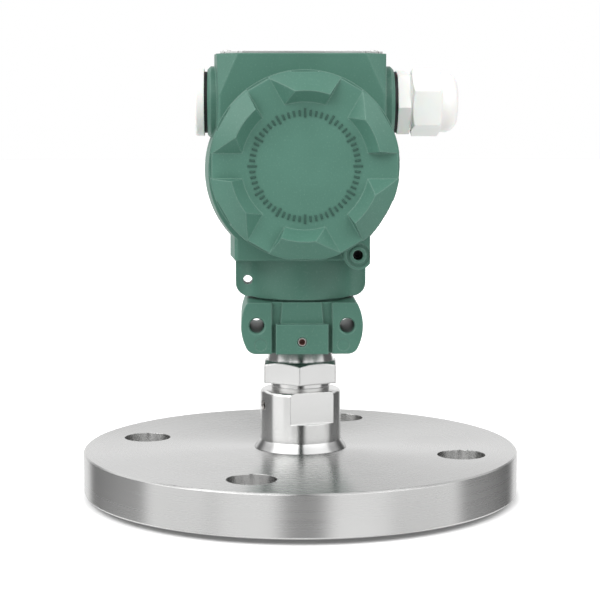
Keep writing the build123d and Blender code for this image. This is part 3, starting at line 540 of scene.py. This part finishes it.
@dataclass(frozen=True)
class Rubber:
    """Black seal rubber: matt, with dust in its fine grain."""

    name: str = "black_rubber"
    colour: Colour = (0.018, 0.018, 0.020)
    dust: Colour = (0.060, 0.058, 0.055)

    def material(self) -> bpy.types.Material:
        """Build the rubber's nodes."""
        graph = Surface(self.name)
        place = graph.place()
        grain = graph.noise(place, 2400.0, 3.0)
        patch = graph.noise(place, 240.0, 2.0)
        colour = graph.blend((grain * patch).smooth(0.2, 0.5) * 0.6, self.colour, self.dust)
        normal = graph.relief(grain, 0.03 * MM, 0.7, graph.rounded(0.25 * MM))
        roughness = 0.58 + 0.22 * patch
        return graph.done(Base_Color=colour, Roughness=roughness, Normal=normal, Specular_IOR_Level=0.35)


@dataclass(frozen=True)
class Lacquer:
    """Circuit board lacquer over copper tracks that run square to each other."""

    name: str = "board_lacquer"
    colour: Colour = (0.020, 0.135, 0.050)
    track: Colour = (0.050, 0.230, 0.095)
    pitch: float = 1.6 * MM

    def material(self) -> bpy.types.Material:
        """Build the lacquer's nodes."""
        graph = Surface(self.name)
        place = graph.place()
        x, y, z = graph.axes(place)
        block = graph.noise(graph.vector(x, y * 0.0, z), 170.0, 0.0)
        along = graph.wave(x * (2.0 * math.pi / self.pitch)).smooth(0.1, 0.5)
        across = graph.wave(z * (2.0 * math.pi / self.pitch)).smooth(0.1, 0.5)
        chosen = block > 0.5
        tracks = along * chosen + across * (1.0 - chosen)
        weave = graph.noise(place, 1800.0, 2.0)
        colour = graph.blend(tracks * 0.8, self.colour, self.track)
        normal = graph.relief(tracks + 0.2 * weave, 0.03 * MM, 0.8, graph.rounded(0.15 * MM))
        return graph.done(Base_Color=colour, Roughness=0.30 + 0.14 * weave, Normal=normal)


@dataclass(frozen=True)
class Resin:
    """Black moulded resin with a fine matt texture."""

    name: str = "black_resin"
    colour: Colour = (0.028, 0.028, 0.031)
    shade: Colour = (0.050, 0.050, 0.052)

    def material(self) -> bpy.types.Material:
        """Build the resin's nodes."""
        graph = Surface(self.name)
        place = graph.place()
        grain = graph.noise(place, 3000.0, 2.0)
        cloud = graph.noise(place, 200.0, 2.0)
        rounded = graph.rounded(0.25 * MM)
        colour = graph.blend(cloud * 0.6 + graph.edges(rounded, 4.0) * 0.4, self.colour, self.shade)
        normal = graph.relief(grain, 0.025 * MM, 0.6, rounded)
        return graph.done(Base_Color=colour, Roughness=0.42 + 0.14 * cloud, Normal=normal)


@dataclass(frozen=True)
class Ceramic:
    """Pale matt floor of the studio that glows outside the flange, with a painted shadow left dark under it.
    """

    name: str = "studio_floor"
    colour: Colour = (0.90, 0.90, 0.90)
    glow: float = 0.35
    painted_shadow_radius: float = 79.0 * MM
    full_glow_radius: float = 86.0 * MM

    def material(self) -> bpy.types.Material:
        """Build the floor's nodes."""
        graph = Surface(self.name)
        place = graph.place()
        x, y, _ = graph.axes(place)
        cloud = graph.noise(place, 3.0, 2.0)
        colour = graph.blend(cloud * 0.3, self.colour, (0.88, 0.88, 0.88))
        # Glow is off under the flange, a painted shadow, and full outside it.
        glow_share = graph.root(x * x + y * y).smooth(self.painted_shadow_radius, self.full_glow_radius)
        return graph.done(
            Base_Color=colour,
            Roughness=0.75 + 0.1 * cloud,
            Specular_IOR_Level=0.2,
            Emission_Color=graph.blend(glow_share, (0.0, 0.0, 0.0), (1.0, 1.0, 1.0)),
            Emission_Strength=self.glow,
        )


class Workshop:
    """Keeps the finishes and puts them on nodes and pieces."""

    def __init__(self, frame: dict[str, Any]) -> None:
        """Keep the loaded frame and start with no materials."""
        self.frame = frame
        self.made: dict[str, bpy.types.Material] = {}

    def material(self, finish: Any) -> bpy.types.Material:
        """The material of a finish, built once."""
        if finish.name not in self.made:
            self.made[finish.name] = finish.material()
        return self.made[finish.name]

    def dress(self, finish: Any, *nodes: str) -> None:
        """Put a finish on nodes of the solids."""
        for node in nodes:
            for slot in self.frame["nodes"][node].material_slots:
                slot.material = self.material(finish)
            log.info("dressed %s in %s", node, finish.name)

    def piece(
        self,
        mesh: bmesh.types.BMesh,
        name: str,
        finish: Any,
        body: str,
        slot: str,
    ) -> bpy.types.Object:
        """Turn a finished bmesh into a piece of the object, shaded smooth between its sharp edges.

        Args:
            mesh: Shape in the frame of the solids. It is freed.
            name: Name of the piece.
            finish: Finish it gets.
            body: Body it rides on.
            slot: Name of a slot of the record; not used.

        Returns:
            The new object.
        """
        bmesh.ops.remove_doubles(mesh, verts=mesh.verts, dist=MERGE_DISTANCE)
        bmesh.ops.recalc_face_normals(mesh, faces=mesh.faces)
        for face in mesh.faces:
            face.smooth = True
        for edge in mesh.edges:
            edge.smooth = len(edge.link_faces) == 2 and edge.calc_face_angle(0.0) < SHARP_ANGLE
        data = bpy.data.meshes.new(name)
        mesh.to_mesh(data)
        mesh.free()
        made = bpy.data.objects.new(name, data)
        bpy.context.collection.objects.link(made)
        data.materials.append(self.material(finish))
        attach(made, body)
        log.info("made %s on %s with %d faces", name, body, len(data.polygons))
        return made


@dataclass(frozen=True)
class ScrewThread:
    """Thread of a screwed piece, wound round the Z axis and then seated."""

    radius: float
    pitch: float
    start: float
    length: float
    height: float = 0.2 * MM
    steps: int = 64

    def ridge(self, seat: Matrix) -> bmesh.types.BMesh:
        """Wind the thread's ridge as a closed strip.

        Args:
            seat: Matrix from the thread's own axis to its place.

        Returns:
            The ridge at its place.
        """
        mesh = bmesh.new()
        crest = self.radius + self.height
        foot = self.start + self.pitch
        profile = [(self.radius, -0.42), (crest, -0.10), (crest, 0.10), (self.radius, 0.42)]
        points = [mesh.verts.new((across, 0.0, foot + up * self.pitch)) for across, up in profile]
        face = mesh.faces.new(points)
        turns = self.length / self.pitch
        count = int(self.steps * turns)
        bmesh.ops.spin(
            mesh,
            geom=[face, *face.edges, *face.verts],
            cent=(0.0, 0.0, 0.0),
            axis=(0.0, 0.0, 1.0),
            dvec=(0.0, 0.0, self.pitch * turns / count),
            angle=2.0 * math.pi * turns,
            steps=count,
            use_merge=False,
        )
        bmesh.ops.transform(mesh, matrix=seat, verts=mesh.verts)
        return mesh


def bevelled_bar(length: float, width: float, height: float, edge: float) -> bmesh.types.BMesh:
    """Raised bar on the XY plane with softened upper edges.

    Args:
        length: Size along X.
        width: Size along Y.
        height: Size along Z, from a little under the plane.
        edge: Size of the bevel.

    Returns:
        The bar, centred on the Z axis.
    """
    mesh = bmesh.new()
    bmesh.ops.create_cube(mesh, size=1.0)
    bmesh.ops.scale(mesh, vec=(length, width, height), verts=mesh.verts)
    bmesh.ops.translate(mesh, vec=(0.0, 0.0, height / 2.0 - edge), verts=mesh.verts)
    upper = [item for item in mesh.edges if sum(vert.co.z for vert in item.verts) > height]
    bmesh.ops.bevel(
        mesh,
        geom=upper,
        offset=edge,
        offset_type="OFFSET",
        segments=2,
        profile=0.5,
        affect="EDGES",
        material=-1,
    )
    return mesh


def join(target: bmesh.types.BMesh, part: bmesh.types.BMesh, matrix: Matrix) -> None:
    """Add a part to a mesh at a place, and free the part."""
    bmesh.ops.transform(part, matrix=matrix, verts=part.verts)
    holder = bpy.data.meshes.new("holder")
    part.to_mesh(holder)
    part.free()
    target.from_mesh(holder)
    bpy.data.meshes.remove(holder)


@dataclass
class ProcessSide:
    """Flange, adapter and sensor, which stay still."""

    shop: Workshop
    # The default foot darkens the flange's bottom edge with a thin band of painted shade.
    turned: TurnedSteel = TurnedSteel()
    collar: TurnedSteel = TurnedSteel(
        name="turned_collar",
        colour=(0.68, 0.68, 0.675),
        grooves=3400.0,
        depth=0.002 * MM,
        roughness=0.20,
        spread=0.85,
        # Painted shade darkens the collar below the foot level.
        foot=18.0 * MM,
        foot_height=6.0 * MM,
        foot_shade_share=0.7,
        foot_shade=(0.28, 0.28, 0.28),
    )
    hexagon: TurnedSteel = TurnedSteel(
        name="milled_hexagon",
        colour=(0.64, 0.64, 0.635),
        grooves=1900.0,
        depth=0.002 * MM,
        roughness=0.20,
        spread=0.7,
        edge_radius=1.0 * MM,
        wear_and_highlight=0.0,
    )
    foil: TurnedSteel = TurnedSteel(
        name="diaphragm_foil", grooves=900.0, depth=0.003 * MM, roughness=0.18, spread=0.3
    )

    def build(self) -> None:
        """Dress the process side."""
        self.shop.dress(self.turned, "flange")
        self.shop.dress(self.collar, "process_adapter", "pressure_cell")
        self.shop.dress(self.hexagon, "sensor_body")
        self.shop.dress(self.foil, "process_diaphragm")
        self.shop.dress(PlatedMetal(name="port_screw", colour=(0.36, 0.35, 0.34)), "fill_screw")
        self.shop.dress(SheetSteel(), "adapter_seal")
        self.shop.dress(Rubber(), "cell_oring", "neck_oring")
        self.shop.dress(BRASS, "cell_retainer")


@dataclass
class FieldHousing:
    """Die-cast housing with its plate, screws and everything inside it."""

    shop: Workshop
    coat: PowderCoat = PowderCoat()
    plate_x: float = 28.3 * MM
    plate_y: float = 19.1 * MM

    def build(self) -> None:
        """Dress the housing and what it carries."""
        black = PlatedMetal(name="blackened_steel", colour=(0.045, 0.045, 0.045), stain=(0.02, 0.02, 0.02))
        rivet = PlatedMetal(name="rivet_steel", colour=(0.66, 0.66, 0.65), stain=(0.4, 0.4, 0.4))
        plate = SheetSteel(
            name="name_plate_sheet",
            colour=(0.95, 0.95, 0.94),
            stain=(0.88, 0.88, 0.87),
            border_x=self.plate_x,
            border_y=self.plate_y,
        )
        self.shop.dress(self.coat, "housing")
        self.shop.dress(plate, "name_plate")
        self.shop.dress(rivet, "name_plate_rivets")
        self.shop.dress(LockedScrew(), "housing_lock_screw")
        self.shop.dress(black, "front_cover_lock_screw", "rear_cover_lock_screw")
        self.shop.dress(PlatedMetal(), "board_screws", "terminal_block_screws")
        self.shop.dress(Lacquer(), "circuit_board")
        self.shop.dress(Resin(), "board_components", "terminal_block")
        self.shop.dress(Rubber(), "wire_grommet")
        self.shop.dress(BRASS, "terminal_screws", "ground_screw")


@dataclass
class ScrewedCover:
    """One screwed cover with its seal, thread ridges and a ring of raised marks."""

    shop: Workshop
    node: str
    facing: Facing
    axis_level: float = 126.8 * MM
    face: float = 52.0 * MM
    thread: ScrewThread = ScrewThread(radius=29.3 * MM, pitch=2.0 * MM, start=28.0 * MM, length=8.0 * MM)
    mark_radius: float = 18.4 * MM
    mark_count: int = 60
    mark_length: float = 2.0 * MM
    long_mark_length: float = 3.2 * MM
    long_mark_every: int = 5
    mark_width: float = 0.75 * MM
    mark_height: float = 0.55 * MM
    mark_bevel: float = 0.12 * MM
    coat: PowderCoat = PowderCoat()
    # Darker than the cover's coat: painted shade standing in for the shaded sides of the raised marks.
    shaded_mark_coat: PowderCoat = PowderCoat(
        name="raised_mark_coat",
        colour=(0.026, 0.084, 0.061),
        shade=(0.022, 0.074, 0.054),
        edge=(0.080, 0.180, 0.140),
        edge_radius=0.12 * MM,
    )

    def seat(self) -> Matrix:
        """Matrix from the cover's own axis to its place on the housing."""
        return Matrix.Translation((0.0, 0.0, self.axis_level)) @ self.facing.turn()

    def marks(self) -> bmesh.types.BMesh:
        """Ring of raised ticks on the cover's face, every fifth one longer."""
        ring = bmesh.new()
        for number in range(self.mark_count):
            length = self.long_mark_length if number % self.long_mark_every == 0 else self.mark_length
            turn = Matrix.Rotation(2.0 * math.pi * number / self.mark_count, 4, "Z")
            place = Matrix.Translation((self.mark_radius, 0.0, self.face))
            bar = bevelled_bar(length, self.mark_width, self.mark_height, self.mark_bevel)
            join(ring, bar, turn @ place)
        bmesh.ops.transform(ring, matrix=self.seat(), verts=ring.verts)
        return ring

    def build(self) -> None:
        """Dress the cover and add its small parts."""
        self.shop.dress(self.coat, self.node)
        self.shop.dress(Rubber(), f"{self.node}_oring")
        self.shop.piece(self.marks(), f"{self.node}_marks", self.shaded_mark_coat, self.node, "green_coat")
        ridge = self.thread.ridge(self.seat())
        self.shop.piece(ridge, f"{self.node}_thread", self.coat, self.node, "green_coat")


@dataclass
class EntryFitting:
    """White fitting screwed into a side entry, with its seals and its thread."""

    shop: Workshop
    body: str
    facing: Facing
    mouldings: tuple[str, ...]
    seals: tuple[str, ...]
    hub_level: float = 148.9 * MM
    thread: ScrewThread = ScrewThread(radius=10.0 * MM, pitch=1.5 * MM, start=24.7 * MM, length=7.0 * MM)
    nylon: MouldedNylon = MouldedNylon()

    def build(self) -> None:
        """Dress the fitting and its seals and add the thread."""
        self.shop.dress(self.nylon, *self.mouldings)
        self.shop.dress(Rubber(), *self.seals)
        seat = Matrix.Translation((0.0, 0.0, self.hub_level)) @ self.facing.turn()
        ridge = self.thread.ridge(seat)
        self.shop.piece(ridge, f"{self.body}_thread", self.nylon, self.body, "white_plastic")


@dataclass(frozen=True)
class SoftPanel:
    """Soft-edged panel of the room's light, given by its angles round the object and its height."""

    name: str
    left: float
    right: float
    low: float
    high: float
    strength: float
    soft_side: float = 6.0
    soft_height: float = 0.08

    def light(self, side: Wire, height: Wire) -> Wire:
        """Light of the panel.

        Args:
            side: Angle from the camera's side in degrees, positive to the right.
            height: Sine of the angle above the horizon.

        Returns:
            The panel's strength, fading out over its edges.
        """
        across = side.smooth(self.left - self.soft_side, self.left + self.soft_side)
        across = across * (1.0 - side.smooth(self.right - self.soft_side, self.right + self.soft_side))
        upright = height.smooth(self.low - self.soft_height, self.low + self.soft_height)
        upright = upright * (1.0 - height.smooth(self.high - self.soft_height, self.high + self.soft_height))
        return self.strength * across * upright


@dataclass
class Studio:
    """Floor, surroundings that light the object, and camera."""

    shop: Workshop
    distance: float = 0.650
    level: float = 0.1475
    yaw: float = 1.8
    pitch: float = 6.43
    focal_length: float = 103.25
    sensor: float = 36.0
    shift_pixels: float = -0.4
    picture_pixels: float = 600.0
    floor_size: float = 8.0
    floor_gap: float = 0.05 * MM
    ambient: float = 0.02
    backdrop: float = 1.0

    def camera(self) -> None:
        """Add the camera at the photograph's angle."""
        data = bpy.data.cameras.new("camera")
        data.sensor_width = self.sensor
        data.lens = self.focal_length
        data.clip_start = 0.01
        data.clip_end = 50.0
        data.shift_x = self.shift_pixels / self.picture_pixels
        view = bpy.data.objects.new("camera", data)
        bpy.context.collection.objects.link(view)
        turn = math.radians(self.yaw)
        view.location = (-self.distance * math.sin(turn), -self.distance * math.cos(turn), self.level)
        view.rotation_euler = (math.radians(90.0 - self.pitch), 0.0, -turn)
        bpy.context.scene.camera = view

    def floor(self) -> None:
        """Add the plain pale floor."""
        mesh = bmesh.new()
        bmesh.ops.create_grid(mesh, x_segments=2, y_segments=2, size=self.floor_size / 2.0)
        bmesh.ops.translate(mesh, vec=(0.0, 0.0, -self.floor_gap), verts=mesh.verts)
        data = bpy.data.meshes.new("floor")
        mesh.to_mesh(data)
        mesh.free()
        made = bpy.data.objects.new("floor", data)
        bpy.context.collection.objects.link(made)
        data.materials.append(self.shop.material(Ceramic()))
        made.visible_glossy = False
        made.visible_diffuse = False
        made.visible_shadow = False

    def panels(self) -> list[SoftPanel]:
        """The room's panels: screens in front with a dark gap between them, and a pale wall behind."""
        return [
            SoftPanel("screen_left_near", -50.0, -12.0, -0.35, 0.40, 0.92),
            SoftPanel("screen_left_far", -88.0, -50.0, -0.35, 0.40, 1.20),
            SoftPanel("screen_right_near", 12.0, 50.0, -0.35, 0.40, 1.10),
            SoftPanel("screen_right_far", 50.0, 88.0, -0.35, 0.40, 1.15),
            SoftPanel("side_left", -146.0, -88.0, -0.35, 0.40, 0.20),
            SoftPanel("side_right", 88.0, 146.0, -0.35, 0.40, 0.13),
            SoftPanel("wall_left", -190.0, -146.0, -0.35, 0.40, 0.98),
            SoftPanel("wall_right", 146.0, 190.0, -0.35, 0.40, 0.98),
            SoftPanel("high_left", -90.0, -8.0, 0.38, 0.90, 3.55, 5.0),
            SoftPanel("high_right", 8.0, 90.0, 0.38, 0.90, 2.35, 5.0),
            SoftPanel("high_back_left", -190.0, -90.0, 0.40, 0.75, 1.35),
            SoftPanel("high_back_right", 90.0, 190.0, 0.40, 0.75, 0.95),
            SoftPanel("overhead_left", -190.0, 0.0, 0.96, 1.20, 0.85, 0.5),
            SoftPanel("overhead_right", 0.0, 190.0, 0.96, 1.20, 0.85, 0.5),
            SoftPanel("low_front", -48.0, 48.0, -1.10, -0.35, 1.35),
            SoftPanel("low_front_left", -90.0, -48.0, -1.10, -0.35, 0.50),
            SoftPanel("low_front_right", 48.0, 90.0, -1.10, -0.35, 0.45),
            SoftPanel("low_back_left", -190.0, -90.0, -1.10, -0.35, 1.60),
            SoftPanel("low_back_right", 90.0, 190.0, -1.10, -0.35, 1.60),
        ]

    def surroundings(self) -> None:
        """Light the room with its panels. The camera sees a plain white backdrop instead of them."""
        world = bpy.data.worlds.new("room")
        bpy.context.scene.world = world
        room = Graph(world, "ShaderNodeBackground", "ShaderNodeOutputWorld")
        way = room.node("ShaderNodeTexCoord", {}, {}, "Generated")
        x, y, z = room.axes(way)
        side = room.angle(x, -1.0 * y) * (180.0 / math.pi)
        light: Value = self.ambient
        for panel in self.panels():
            light = light + panel.light(side, z)
            log.info("placed panel %s", panel.name)
        seen = room.node("ShaderNodeLightPath", {}, {}, "Is Camera Ray")
        strength = light * (1.0 - seen) + self.backdrop * seen
        room.finish(Color=(1.0, 1.0, 1.0, 1.0), Strength=strength)

    def build(self) -> None:
        """Set up the studio."""
        self.camera()
        self.floor()
        self.surroundings()
        bpy.context.scene.view_settings.view_transform = "Standard"


def main() -> None:
    """Load the solids, dress them, and set up the studio."""
    logging.basicConfig(level=logging.INFO, format="%(message)s")
    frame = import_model()
    shop = Workshop(frame)
    Studio(shop).build()
    assemblies = [
        ProcessSide(shop),
        FieldHousing(shop),
        ScrewedCover(shop, "front_cover", Facing.FRONT),
        ScrewedCover(shop, "rear_cover", Facing.REAR),
        EntryFitting(shop, "blanking_plug", Facing.LEFT, ("blanking_plug",), ("plug_seal",)),
        EntryFitting(
            shop, "gland_body", Facing.RIGHT, ("gland_body", "gland_nut"), ("gland_oring", "gland_seal")
        ),
    ]
    for assembly in assemblies:
        assembly.build()
        log.info("finished %s", type(assembly).__name__)


if __name__ == "__main__":
    main()
